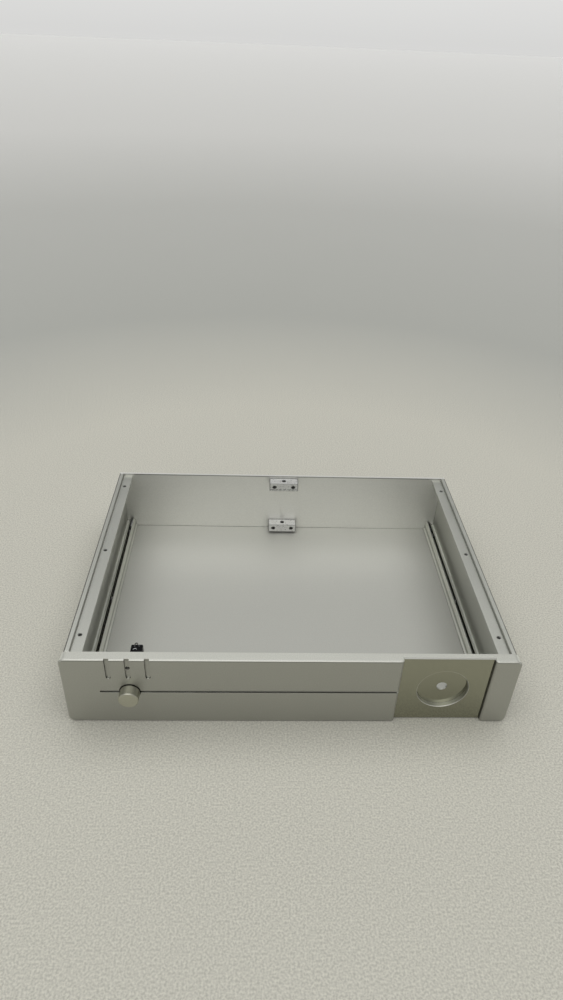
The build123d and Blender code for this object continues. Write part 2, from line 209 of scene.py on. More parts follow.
class ShaderGraph:
    """The nodes of one material or world."""

    corner_span: Span = (0.72, 0.995)  # likeness of the rounded and the plain normal, on a corner and off it
    corner_samples: int = 4
    crevice_samples: int = 6

    def __init__(self, tree: bpy.types.NodeTree) -> None:
        """Start from an empty node tree."""
        tree.nodes.clear()
        self.tree = tree

    def add(
        self,
        kind: str,
        settings: Mapping[str, Any] | None = None,
        sockets: Mapping[str | int, Any] | None = None,
    ) -> bpy.types.Node:
        """Add a node.

        Args:
            kind: The node's type.
            settings: Properties, set first; "stops" takes a ramp's positions and colours.
            sockets: Values, signals or sockets to set or link, by input name or index.

        Returns:
            The new node.
        """
        node = self.tree.nodes.new(kind)
        for key, value in (settings or {}).items():
            if key == "stops":
                self._set_stops(node.color_ramp, value)
            else:
                setattr(node, key, value)
        for key, value in (sockets or {}).items():
            if isinstance(value, Signal):
                value = value.socket
            if isinstance(value, Socket):
                self.tree.links.new(value, node.inputs[key])
            else:
                node.inputs[key].default_value = value
        return node

    @staticmethod
    def _set_stops(ramp: bpy.types.ColorRamp, stops: Sequence[tuple[float, Colour]]) -> None:
        """Give a ramp its stops.

        Args:
            ramp: The ramp of a Color Ramp node.
            stops: Positions from 0 to 1, rising, each with its colour.
        """
        while len(ramp.elements) < len(stops):
            ramp.elements.new(1.0)
        for element, (position, colour) in zip(ramp.elements, stops):
            element.position = position
            element.color = (*colour, 1.0)

    def signal(self, node: bpy.types.Node, output: str | int = 0) -> Signal:
        """Take one output of a node as a signal."""
        return Signal(self, node.outputs[output])

    def place(self, stretch: Place = (1.0, 1.0, 1.0)) -> Socket:
        """Give the place on the piece, in millimetres.

        Args:
            stretch: Factors on the three axes; below 1 draws a pattern out along that axis.

        Returns:
            The scaled vector.
        """
        spot = self.add("ShaderNodeTexCoord").outputs["Object"]
        scale = tuple(factor / MM for factor in stretch)
        return self.add("ShaderNodeMapping", {}, {"Vector": spot, "Scale": scale}).outputs["Vector"]

    def parts(self, vector: Socket, *axes: Along) -> list[Signal]:
        """Split a vector into its parts along some axes."""
        node = self.add("ShaderNodeSeparateXYZ", {}, {0: vector})
        return [self.signal(node, axis.name) for axis in axes]

    def spot(self, *axes: Along) -> list[Signal]:
        """Give the place on the piece along some axes, in millimetres."""
        return self.parts(self.place(), *axes)

    def facing(self, *axes: Along) -> list[Signal]:
        """Give how far the surface faces along some axes of the piece, from -1 to 1."""
        return self.parts(self.add("ShaderNodeTexCoord").outputs["Normal"], *axes)

    def noise(self, size: float, detail: float = 2.0, stretch: Place = (1.0, 1.0, 1.0)) -> Signal:
        """Add a noise pattern.

        Args:
            size: Size of its largest features, in millimetres.
            detail: Octaves of finer features.
            stretch: Factors on the three axes of the piece.

        Returns:
            The noise, from 0 to 1 about a mean of 0.5.
        """
        sockets = {"Vector": self.place(stretch), "Scale": 1.0 / size, "Detail": detail}
        return self.signal(self.add("ShaderNodeTexNoise", {}, sockets), "Fac")

    def cells(self, size: float) -> Signal:
        """Give the distance to the nearest of scattered points about size millimetres apart."""
        sockets = {"Vector": self.place(), "Scale": 1.0 / size}
        return self.signal(self.add("ShaderNodeTexVoronoi", {}, sockets), "Distance")

    def mix(self, share: Operand, first: Any, second: Any) -> Socket:
        """Mix two colours.

        Args:
            share: Share of the second colour.
            first: Colour or socket shown at 0.
            second: Colour or socket shown at 1.

        Returns:
            The mixed colour.
        """
        colours = {
            index: (*value, 1.0) if isinstance(value, tuple) else value
            for index, value in ((6, first), (7, second))
        }
        node = self.add("ShaderNodeMix", {"data_type": "RGBA"}, {0: share, **colours})
        return node.outputs[2]

    def ramp(self, share: Signal, stops: Sequence[tuple[float, Colour]]) -> Socket:
        """Give the colour that a ramp shows at a share of its length."""
        return self.add("ShaderNodeValToRGB", {"stops": stops}, {"Fac": share}).outputs["Color"]

    def edges(self, radius: float) -> tuple[Socket, Signal]:
        """Find the corners of a piece, for rounding, wear and painted highlights.

        Args:
            radius: Radius of the rounded corner, in millimetres.

        Returns:
            The rounded normal, and a mask that is 1 on a corner.
        """
        bevel = self.add("ShaderNodeBevel", {"samples": self.corner_samples}, {"Radius": radius * MM})
        rounded = bevel.outputs["Normal"]
        plain = self.add("ShaderNodeNewGeometry").outputs["Normal"]
        turned = self.add("ShaderNodeVectorMath", {"operation": "DOT_PRODUCT"}, {0: rounded, 1: plain})
        return rounded, self.signal(turned, "Value").fall(*self.corner_span)

    def occlusion_shade(self, reach: float) -> Signal:
        """Find grooves, holes and inner corners, for painted shade there.

        Args:
            reach: How far from a facing wall the mask starts, in millimetres.

        Returns:
            A mask that rises to 1 deep in a groove.
        """
        settings = {"samples": self.crevice_samples}
        node = self.add("ShaderNodeAmbientOcclusion", settings, {"Distance": reach * MM})
        return 1.0 - self.signal(node, "AO")

    def bump(self, height: Signal, depth: float, normal: Socket | None = None) -> Socket:
        """Turn a height pattern into a normal.

        Args:
            height: Pattern from 0 to 1.
            depth: Depth of the full range, in millimetres.
            normal: Normal to start from.

        Returns:
            The normal with the pattern on it.
        """
        sockets: dict[str, Any] = {"Height": height, "Distance": depth * MM, "Strength": 1.0}
        if normal is not None:
            sockets["Normal"] = normal
        return self.add("ShaderNodeBump", {}, sockets).outputs["Normal"]

    def surface(self, sockets: Mapping[str, Any]) -> None:
        """End a material in a Principled shader with these sockets."""
        shader = self.add("ShaderNodeBsdfPrincipled", {}, sockets)
        self.add("ShaderNodeOutputMaterial", {}, {"Surface": shader.outputs["BSDF"]})


@dataclass(frozen=True)
class Finish:
    """A finish that pieces share by name."""

    name: str

    def material(self) -> bpy.types.Material:
        """Make the material, or give the one that is already made."""
        made = bpy.data.materials.get(self.name)
        if made is None:
            made = bpy.data.materials.new(self.name)
            made.use_nodes = True
            self.lay(ShaderGraph(made.node_tree))
        return made

    def lay(self, graph: ShaderGraph) -> None:
        """Add the finish's nodes to an empty graph."""
        raise NotImplementedError


SHADOW: Colour = (0.0, 0.0, 0.0)
MEAN = 0.5  # mean of a noise pattern
SQUARE: Span = (0.90, 0.98)  # part of a normal along an axis, on a face square to that axis


@dataclass(frozen=True)
class SatinAnodised(Finish):
    """Aluminium, bead-blasted and clear anodised, with fine draw lines along one direction."""

    along: Along = Along.X
    tint: Colour = (0.756, 0.768, 0.705)
    tint_spread: float = 0.20
    # lighter tint for the corners, partly wear and partly a painted highlight
    wear_and_highlight_tint: Colour = (0.80, 0.805, 0.775)
    # dark tint of the painted shade in grooves, holes and inner corners
    dull_and_shade_tint: Colour = (0.10, 0.10, 0.085)
    roughness: float = 0.34
    grain_roughness: float = 0.10
    cloud_roughness: float = 0.08
    corner_polish: float = 0.06
    blast_size: float = 0.8
    blast_depth: float = 0.010
    blast_share: float = 0.30
    cloud_size: float = 38.0
    cloud_share: float = 0.10
    line_size: float = 0.9
    line_share: float = 0.05
    line_draw: float = 0.985
    corner: float = 0.10
    corner_wear_and_highlight: float = 0.35
    # reach, share and span of the painted shade in crevices
    crevice_reach: float = 1.2
    crevice_share: float = 0.75
    crevice_span: Span = (0.50, 0.95)

    def vary(self, graph: ShaderGraph, satin: Socket, rough: Signal) -> tuple[Socket, Signal]:
        """Give colour and roughness from face to face, the same all over a plain piece."""
        return satin, rough

    def metal(self, graph: ShaderGraph) -> Operand:
        """Give the share of bare metal, all of it on a plain piece."""
        return 1.0

    def lay(self, graph: ShaderGraph) -> None:
        """Lay blasting grain, draw lines, faint clouds, corners lighter from wear and a painted highlight,
        and painted shade in crevices.

        Args:
            graph: Empty graph of the material.
        """
        drawn = tuple(1.0 - self.line_draw * part for part in self.along.value)
        grain = graph.noise(self.blast_size, detail=3.0)
        clouds = graph.noise(self.cloud_size, detail=4.0)
        lines = graph.noise(self.line_size, stretch=drawn)
        rounded, corners = graph.edges(self.corner)
        tone = (
            (clouds - MEAN) * self.cloud_share
            + (lines - MEAN) * self.line_share
            + (grain - MEAN) * self.blast_share
        )
        darker, lighter = (
            tuple((1.0 + side * self.tint_spread) * channel for channel in self.tint) for side in SIDES
        )
        satin = graph.mix(tone + MEAN, darker, lighter)
        rough = (
            self.roughness + (grain - MEAN) * self.grain_roughness + (clouds - MEAN) * self.cloud_roughness
        )
        satin, rough = self.vary(graph, satin, rough)
        # corners lightened, partly by wear and partly as a painted highlight
        bright = graph.mix(corners * self.corner_wear_and_highlight, satin, self.wear_and_highlight_tint)
        # painted shade in grooves, holes and inner corners, from the occlusion mask
        dull = graph.occlusion_shade(self.crevice_reach).step(*self.crevice_span) * self.crevice_share
        graph.surface({
            "Base Color": graph.mix(dull, bright, self.dull_and_shade_tint),
            "Metallic": self.metal(graph),
            "Roughness": rough - corners * self.corner_polish,
            "Normal": graph.bump(grain, self.blast_depth, rounded),
        })


@dataclass(frozen=True)
class SteppedPanel(SatinAnodised):
    """Satin panel with painted shade that darkens its upright faces, cut walls and milled floors, which are
    smoother, and a painted highlight round the pocket.
    """

    # places, in millimetres, over which a mask rises
    sunk_y: Span = (-119.95, -119.88)  # behind the front face
    floor_y: Span = (-117.3, -117.1)  # at the floor of the knob recess
    ledge_y: Span = (-117.1, -117.0)
    behind_y: Span = (-116.95, -116.85)  # behind that floor
    recess_x: Span = (75.5, 76.5)
    end_x: Span = (154.0, 155.0)
    foot_z: Span = (0.7, 1.1)
    low_z: Span = (2.0, 2.5)
    slot_z: Span = (40.0, 41.0)
    ledge_z: Span = (62.0, 62.5)
    lip_z: Span = (62.1, 62.4)
    high_z: Span = (62.4, 62.6)
    brim_z: Span = (63.0, 63.2)
    pocket_spot: tuple[float, float] = (109.7, 32.0)
    pocket_rim: tuple[Span, Span] = ((18.5, 18.6), (18.95, 19.05))
    # parts of a normal over which a mask rises
    forward_part: Span = (0.80, 0.96)
    rearward_part: Span = (0.30, 0.70)
    level_part: Span = (0.35, 0.75)
    slot_part: Span = (0.75, 0.95)
    wall_part: Span = (0.85, 0.97)
    bevel_part: tuple[Span, Span] = ((0.35, 0.60), (0.80, 0.95))
    foot_part: Span = (0.20, 0.50)
    # what is left of the tint under each painted shade
    face_shade: float = 0.545
    bevel_shade: float = 0.80
    wall_shade: float = 0.24
    cut_shade: float = 0.16
    pocket_shade: float = 0.80
    ledge_shade: float = 0.72
    foot_shade: float = 0.35
    lip_shade: float = 0.72
    # painted shade: a darker, yellower tint on the recess floors
    floor_shade_tint: Colour = (0.330, 0.330, 0.250)
    floor_share: float = 0.9
    floor_roughness: float = 0.12
    rim_share: float = 0.8

    def vary(self, graph: ShaderGraph, satin: Socket, rough: Signal) -> tuple[Socket, Signal]:
        """Tell the panel's faces, cut walls and milled floors apart, and paint shade on them and a highlight
        round the pocket.

        Args:
            graph: Graph of the material.
            satin: Colour before the change.
            rough: Roughness before the change.

        Returns:
            Colour and roughness, from face to face.
        """
        aside, rearward, above = graph.facing(*Along)
        x, y, z = graph.spot(*Along)
        forward = (-rearward).step(*self.forward_part)
        upright = abs(above).fall(*self.level_part)
        inside = abs(x).fall(*self.end_x)
        recessed = x.step(*self.recess_x)
        between = z.band(self.low_z, self.high_z)
        within = between * inside * rearward.fall(*self.rearward_part)
        behind = y.step(*self.behind_y)
        floors = forward * y.step(*self.floor_y)
        slot_end = above.step(*self.slot_part) * z.step(*self.slot_z)
        cuts = y.step(*self.sunk_y) * within * (1.0 - recessed) * (1.0 - forward) * (1.0 - slot_end)
        walls = abs(aside).step(*self.wall_part) * upright * inside * recessed * (1.0 - behind)
        pocket = behind * (1.0 - forward) * recessed * within
        ledge = recessed * inside * y.step(*self.ledge_y) * (1.0 - upright)
        ledge = ledge * above.fall(*SQUARE) * z.step(*self.ledge_z)
        bevelled = abs(above).band(*self.bevel_part) * (-rearward).step(*self.bevel_part[0]) * (1.0 - between)
        foot = z.fall(*self.foot_z) * (-rearward).step(*self.foot_part)
        lip = z.band(self.lip_z, self.brim_z) * forward
        # painted shade: each mask darkens its faces to what is left of the tint
        shade = 1.0
        for mask, left in (
            (upright, self.face_shade),
            (bevelled, self.bevel_shade),
            (cuts, self.cut_shade),
            (walls, self.wall_shade),
            (pocket, self.pocket_shade),
            (ledge, self.ledge_shade),
            (foot, self.foot_shade),
            (lip, self.lip_shade),
        ):
            shade = shade * (1.0 - mask * (1.0 - left))
        shaded = graph.mix(1.0 - shade, satin, SHADOW)
        floored = graph.mix(floors * self.floor_share, shaded, self.floor_shade_tint)
        # painted highlight: a light ring round the pocket's rim
        spot_x, spot_z = self.pocket_spot
        away = ((x - spot_x) ** 2.0 + (z - spot_z) ** 2.0) ** 0.5
        rim = away.band(*self.pocket_rim) * floors * self.rim_share
        return (
            graph.mix(rim, floored, self.wear_and_highlight_tint),
            rough + floors * (self.floor_roughness - self.roughness),
        )


@dataclass(frozen=True)
class ShadedAnodised(SatinAnodised):
    """Satin finish with painted shade at some places of its piece."""

    def shadow(self, graph: ShaderGraph) -> Signal:
        """Give the share of painted shade over the piece."""
        raise NotImplementedError

    def vary(self, graph: ShaderGraph, satin: Socket, rough: Signal) -> tuple[Socket, Signal]:
        """Lay the painted shade on the colour, and leave the roughness."""
        return graph.mix(self.shadow(graph), satin, SHADOW), rough


@dataclass(frozen=True)
class ScrewRails(ShadedAnodised):
    """Satin extrusion with painted shade: darker walls, dark screw ports and a dark line along its outer rim.
    """

    wall_shade: float = 0.62
    port_x: float = 151.2
    port_reach: Span = (1.15, 1.25)
    port_z: Span = (10.2, 10.5)  # mouth of the lower port
    port_share: float = 0.95
    rim_x: Span = (157.5, 157.6)
    rim_z: Span = (63.0, 63.2)
    rim_share: float = 0.80

    def shadow(self, graph: ShaderGraph) -> Signal:
        """Paint shade on the walls, the inside of the lower port and the outer rim.

        Args:
            graph: Graph of the material.

        Returns:
            Share of shadow.
        """
        x, z = graph.spot(Along.X, Along.Z)
        (aside,) = graph.facing(Along.X)
        # painted shade on the walls, inside the lower port and along the outer rim
        walls = abs(aside).step(*SQUARE) * (1.0 - self.wall_shade)
        port = abs(abs(x) - self.port_x).fall(*self.port_reach) * z.fall(*self.port_z) * self.port_share
        rim = abs(x).step(*self.rim_x) * z.step(*self.rim_z) * self.rim_share
        return 1.0 - (1.0 - walls) * (1.0 - port.peak(rim))


@dataclass(frozen=True)
class RearSheet(ShadedAnodised):
    """Satin sheet with a painted shade line under its matt top edge."""

    edge_z: Span = (62.7, 62.9)
    edge_share: float = 0.50
    upward_part: Span = (0.30, 0.70)
    sawn_part: Span = (0.70, 0.95)
    sawn_share: float = 0.85

    def shadow(self, graph: ShaderGraph) -> Signal:
        """Paint a shade line under the top edge.

        Args:
            graph: Graph of the material.

        Returns:
            Share of shadow.
        """
        (z,), (above,) = graph.spot(Along.Z), graph.facing(Along.Z)
        # painted shade line just under the top edge
        return z.step(*self.edge_z) * above.fall(*self.upward_part) * self.edge_share

    def metal(self, graph: ShaderGraph) -> Operand:
        """Give the share of bare metal, less on the matt sawn edge on top."""
        (above,) = graph.facing(Along.Z)
        return 1.0 - above.step(*self.sawn_part) * self.sawn_share


@dataclass(frozen=True)
class TurnedButton(ShadedAnodised):
    """Satin button with painted shade round its neck and along its underside."""

    neck_y: Span = (-120.95, -120.6)
    neck_share: float = 0.88
    under_part: Span = (0.25, 0.55)
    under_share: float = 0.50

    def shadow(self, graph: ShaderGraph) -> Signal:
        """Paint shade on the neck and the underside.

        Args:
            graph: Graph of the material.

        Returns:
            Share of shadow.
        """
        (y,), (above,) = graph.spot(Along.Y), graph.facing(Along.Z)
        # painted shadow in the gap round the neck, and painted shade underneath
        neck = y.step(*self.neck_y) * self.neck_share
        return neck.peak((-above).step(*self.under_part) * self.under_share)


@dataclass(frozen=True)
class MilledAluminium(Finish):
    """Bare aluminium with feed marks of the cutter, specks, and painted shade on front faces, broken edges
    and in holes.
    """

    tint: Colour = (0.90, 0.90, 0.88)
    # dark tint of the real specks, also used for the painted shade on edges and in holes
    speck_and_shade_tint: Colour = (0.05, 0.05, 0.045)
    metal: float = 0.65
    # painted shade on faces square to the depth of the case
    face_shade: float = 0.80
    roughness: float = 0.50
    feed: float = 0.55
    feed_depth: float = 0.012
    feed_share: float = 0.6
    sway_size: float = 4.0
    sway_turns: float = 3.0
    smear_size: float = 0.6
    smear_draw: Place = (1.0, 0.2, 0.2)
    smear_shade: float = 0.82
    smear_roughness: float = 0.18
    speck_size: float = 1.1
    speck_span: Span = (0.20, 0.36)
    speck_share: float = 0.8
    patch_size: float = 2.4
    patch_span: Span = (0.46, 0.56)
    broken_part: Span = (0.86, 0.97)
    edge_shade_share: tuple[float, float] = (0.45, 0.5)  # everywhere, and with the smear
    # painted shade in the holes
    hole_reach: float = 3.0
    hole_span: Span = (0.25, 0.60)
    hole_share: float = 0.97
    corner: float = 0.12
    corner_polish: float = 0.08

    def edge_shade(self, graph: ShaderGraph, broken: Signal, smear: Signal) -> Signal:
        """Give the share of painted shade along broken edges."""
        plain, smeared = self.edge_shade_share
        return broken * (plain + smear * smeared)

    def lay(self, graph: ShaderGraph) -> None:
        """Lay cutter marks across the length, with scattered dark specks and painted shade.

        Args:
            graph: Empty graph of the material.
        """
        (x,) = graph.spot(Along.X)
        aside, rearward, above = (abs(part) for part in graph.facing(*Along))
        broken = aside.peak(rearward).peak(above).fall(*self.broken_part)
        sway = graph.noise(self.sway_size)
        feed = ((x / self.feed + sway * self.sway_turns) * math.tau).sine() * 0.5 + 0.5
        smear = graph.noise(self.smear_size, detail=3.0, stretch=self.smear_draw)
        specks = graph.cells(self.speck_size).fall(*self.speck_span)
        patches = graph.noise(self.patch_size, detail=1.0).step(*self.patch_span)
        rounded, corners = graph.edges(self.corner)
        clean = graph.mix(smear, tuple(self.smear_shade * channel for channel in self.tint), self.tint)
        # painted shade on faces square to Y
        faced = graph.mix(rearward.step(*SQUARE) * (1.0 - self.face_shade), clean, SHADOW)
        # real specks, and painted shade along broken edges
        dark = (specks * patches * self.speck_share).peak(self.edge_shade(graph, broken, smear))
        # painted shade in holes and inner corners
        deep = graph.occlusion_shade(self.hole_reach).step(*self.hole_span) * self.hole_share
        graph.surface({
            "Base Color": graph.mix(deep, graph.mix(dark, faced, self.speck_and_shade_tint), self.speck_and_shade_tint),
            "Metallic": self.metal,
            "Roughness": (
                self.roughness + (smear - MEAN) * self.smear_roughness - corners * self.corner_polish
            ),
            "Normal": graph.bump(
                feed * self.feed_share + smear * (1.0 - self.feed_share), self.feed_depth, rounded
            ),
        })


@dataclass(frozen=True)
class DrilledBlock(MilledAluminium):
    """Sawn block with painted shade: dark ends, dark mouths of its tapped holes and dark dashed lines along
    its foot.
    """

    level: float = 57.25  # middle of the block
    end_x: Span = (13.0, 13.3)
    end_share: tuple[float, float] = (0.35, 0.6)  # everywhere, and with the smear
    hole_x: float = 9.0
    hole_rim: Span = (1.95, 2.15)
    mouth_rise: Span = (-0.9, -0.4)
    top_hole_y: float = 113.0
    # painted shadow lines along the foot, broken into dashes
    dashes: float = 0.0
    dash_size: float = 2.2
    dash_span: Span = (0.42, 0.52)
    dash_lines: tuple[tuple[float, Span], ...] = (  # drop from the middle, and half the width
        (3.9, (0.25, 0.45)),
        (2.3, (0.20, 0.40)),
    )

    def edge_shade(self, graph: ShaderGraph, broken: Signal, smear: Signal) -> Signal:
        """Add painted shade on the ends, round the top hole, in the upper part of each hole's mouth, and in
        dashed lines along the foot.

        Args:
            graph: Graph of the material.
            broken: Mask of the broken edges.
            smear: Noise along the cut.

        Returns:
            Share of the dark tint.
        """
        x, y, z = graph.spot(*Along)
        rearward, above = graph.facing(Along.Y, Along.Z)
        rise = z - self.level
        plain, smeared = self.end_share
        ends = abs(x).step(*self.end_x) * (plain + smear * smeared)
        over = (x ** 2.0 + (y - self.top_hole_y) ** 2.0) ** 0.5
        crown = over.fall(*self.hole_rim) * above.step(*SQUARE)
        away = ((abs(x) - self.hole_x) ** 2.0 + rise ** 2.0) ** 0.5
        mouths = away.fall(*self.hole_rim) * rise.step(*self.mouth_rise)
        lower, upper = (abs(rise + drop).fall(*span) for drop, span in self.dash_lines)
        gaps = graph.noise(self.dash_size, detail=1.0).step(*self.dash_span)
        front = mouths.peak(lower.peak(upper) * gaps * self.dashes) * (-rearward).step(*SQUARE)
        return super().edge_shade(graph, broken, smear).peak(ends.peak(crown).peak(front))


@dataclass(frozen=True)
class PlatedMetal(Finish):
    """Plated metal with a mottled skin, duller in places."""

    tint: Colour = (0.66, 0.67, 0.68)
    dull_and_shade_tint: Colour = (0.44, 0.45, 0.46)
    roughness: float = 0.26
    dull_roughness: float = 0.14
    mottle_size: float = 1.6
    mottle_span: Span = (0.42, 0.70)
    grain_size: float = 0.25
    grain_depth: float = 0.004
    grain_roughness: float = 0.08
    corner: float = 0.12
    corner_wear_and_highlight: float = 0.5

    def lay(self, graph: ShaderGraph) -> None:
        """Lay a mottle of bright and dull plating.

        Args:
            graph: Empty graph of the material.
        """
        grain = graph.noise(self.grain_size)
        dull = graph.noise(self.mottle_size, detail=3.0).step(*self.mottle_span)
        rounded, corners = graph.edges(self.corner)
        skin = graph.mix(dull, self.tint, self.dull_and_shade_tint)
        graph.surface({
            "Base Color": graph.mix(corners * self.corner_wear_and_highlight, skin, self.tint),
            "Metallic": 1.0,
            "Roughness": (
                self.roughness + dull * self.dull_roughness + (grain - MEAN) * self.grain_roughness
            ),
            "Normal": graph.bump(grain, self.grain_depth, rounded),
        })


@dataclass(frozen=True)
class MouldedPlastic(Finish):
    """Moulded plastic with a spark-eroded grain and rubbed corners."""

    tint: Colour = (0.010, 0.010, 0.011)
    rubbed_tint: Colour = (0.045, 0.045, 0.047)
    roughness: float = 0.30
    gloss: float = 0.5
    grain_size: float = 0.30
    grain_depth: float = 0.006
    grain_roughness: float = 0.1
    haze_size: float = 5.0
    haze_span: Span = (0.45, 0.85)
    haze_share: float = 0.35
    haze_roughness: float = 0.2
    corner: float = 0.15
    corner_wear_and_highlight: float = 0.6

    def lay(self, graph: ShaderGraph) -> None:
        """Lay the grain of the mould and a faint rub on the corners.

        Args:
            graph: Empty graph of the material.
        """
        grain = graph.noise(self.grain_size, detail=3.0)
        haze = graph.noise(self.haze_size, detail=3.0)
        rounded, corners = graph.edges(self.corner)
        rub = corners * self.corner_wear_and_highlight + haze.step(*self.haze_span) * self.haze_share
        graph.surface({
            "Base Color": graph.mix(rub, self.tint, self.rubbed_tint),
            "Specular IOR Level": self.gloss,
            "Roughness": (
                self.roughness + (haze - MEAN) * self.haze_roughness + (grain - MEAN) * self.grain_roughness
            ),
            "Normal": graph.bump(grain, self.grain_depth, rounded),
        })


@dataclass(frozen=True)
class PaleSheet(Finish):
    """Pale matt sheet under the object, pebbled, that turns greyer and then white with distance, as painted
    shade and painted light.
    """

    half_fade: float = 2500.0  # distance that lies midway along the fade
    # the sheet's own tint near by, then painted shade in a darker band, then painted light up to white
    fade: tuple[tuple[float, Colour], ...] = (
        (400.0, (0.682, 0.668, 0.590)),
        (760.0, (0.500, 0.506, 0.470)),
        (1700.0, (0.575, 0.577, 0.547)),
        (3400.0, (0.770, 0.766, 0.742)),
        (12000.0, (0.890, 0.887, 0.870)),
        (40000.0, (0.950, 0.947, 0.935)),
    )
    roughness: float = 0.75
    pebble_size: float = 1.3
    pebble_share: float = 2.8
    pebble_contrast: float = 0.20
    pebble_depth: float = 0.30
    cloud_size: float = 160.0
    cloud_share: float = 0.06
    # painted contact shade round what stands on the sheet
    contact_reach: float = 45.0
    contact_span: Span = (0.0, 0.55)
    contact_share: float = 0.26

    def _scaled(self, tint: Colour, distance: float, side: int) -> Colour:
        """Make a tint lighter (side 1) or darker (side -1), less so further away."""
        factor = 1.0 + side * self.pebble_contrast * self.half_fade / (distance + self.half_fade)
        return tuple(min(1.0, part * factor) for part in tint)

    def _faded(self, graph: ShaderGraph, side: int) -> Socket:
        """Give the sheet's colour over the distance, with its painted shade and light.

        Args:
            graph: Graph of the material.
            side: 1 for the tops of the pebbles, -1 for the hollows.

        Returns:
            The faded colour.
        """
        length = graph.add("ShaderNodeVectorMath", {"operation": "LENGTH"}, {0: graph.place()})
        reach = graph.signal(length, "Value")
        stops = [
            (distance / (distance + self.half_fade), self._scaled(tint, distance, side))
            for distance, tint in self.fade
        ]
        return graph.ramp(reach / (reach + self.half_fade), stops)

    def lay(self, graph: ShaderGraph) -> None:
        """Lay the pebbled skin, the painted grade over the distance and the painted soft shade round what
        stands on it.

        Args:
            graph: Empty graph of the material.
        """
        pebbles = graph.noise(self.pebble_size)
        clouds = graph.noise(self.cloud_size)
        tone = (pebbles - MEAN) * self.pebble_share + (clouds - MEAN) * self.cloud_share + MEAN
        hollows, tops = (self._faded(graph, side) for side in SIDES)
        contact = graph.occlusion_shade(self.contact_reach).step(*self.contact_span) * self.contact_share
        graph.surface({
            "Base Color": graph.mix(contact, graph.mix(tone, hollows, tops), SHADOW),
            "Roughness": self.roughness,
            "Normal": graph.bump(pebbles, self.pebble_depth),
        })


ANODISED_PLATE = SatinAnodised(
    "anodised_plate", Along.X, (0.728, 0.730, 0.686), roughness=0.62, blast_share=0.50
)
ANODISED_FRONT = SteppedPanel(
    "anodised_front", Along.X, (0.82, 0.825, 0.76), roughness=0.45, blast_share=0.80,
    crevice_reach=1.5, crevice_span=(0.35, 0.80),
)
ANODISED_REAR = RearSheet(
    "anodised_rear", Along.X, (0.785, 0.783, 0.748), roughness=0.50, blast_share=0.50
)
ANODISED_DRAWN = ScrewRails(
    "anodised_extrusion", Along.Y, (0.79, 0.80, 0.74), roughness=0.39, blast_share=0.50, line_share=0.09,
    crevice_reach=1.6, crevice_share=0.92, crevice_span=(0.20, 0.62),
)
ANODISED_TURNED = TurnedButton(
    "anodised_button", Along.Z, (0.478, 0.474, 0.395), cloud_size=9.0, cloud_share=0.05,
    crevice_span=(0.30, 0.80),
)
MILLED = MilledAluminium("milled_aluminium")
UPPER_MILLED = DrilledBlock("milled_upper", dashes=0.85)
LOWER_MILLED = DrilledBlock("milled_lower", level=8.25)
# painted shade: the threads get a dark tint because the holes are unlit inside
TAPPED = MilledAluminium("cut_thread", (0.16, 0.16, 0.15), (0.06, 0.06, 0.055), metal=0.50)
ZINC = PlatedMetal("zinc_plate")
BURNISHED = PlatedMetal("burnished_steel", (0.20, 0.20, 0.205), (0.12, 0.12, 0.12), roughness=0.34)
TARNISHED = PlatedMetal("tarnished_tin", (0.24, 0.235, 0.22), (0.14, 0.135, 0.125), roughness=0.36)
BLACK = MouldedPlastic("black_moulding", (0.004, 0.004, 0.005), (0.014, 0.014, 0.015), gloss=0.18)
PALE = MouldedPlastic("pale_moulding", (0.72, 0.70, 0.64), (0.80, 0.79, 0.75), roughness=0.42)


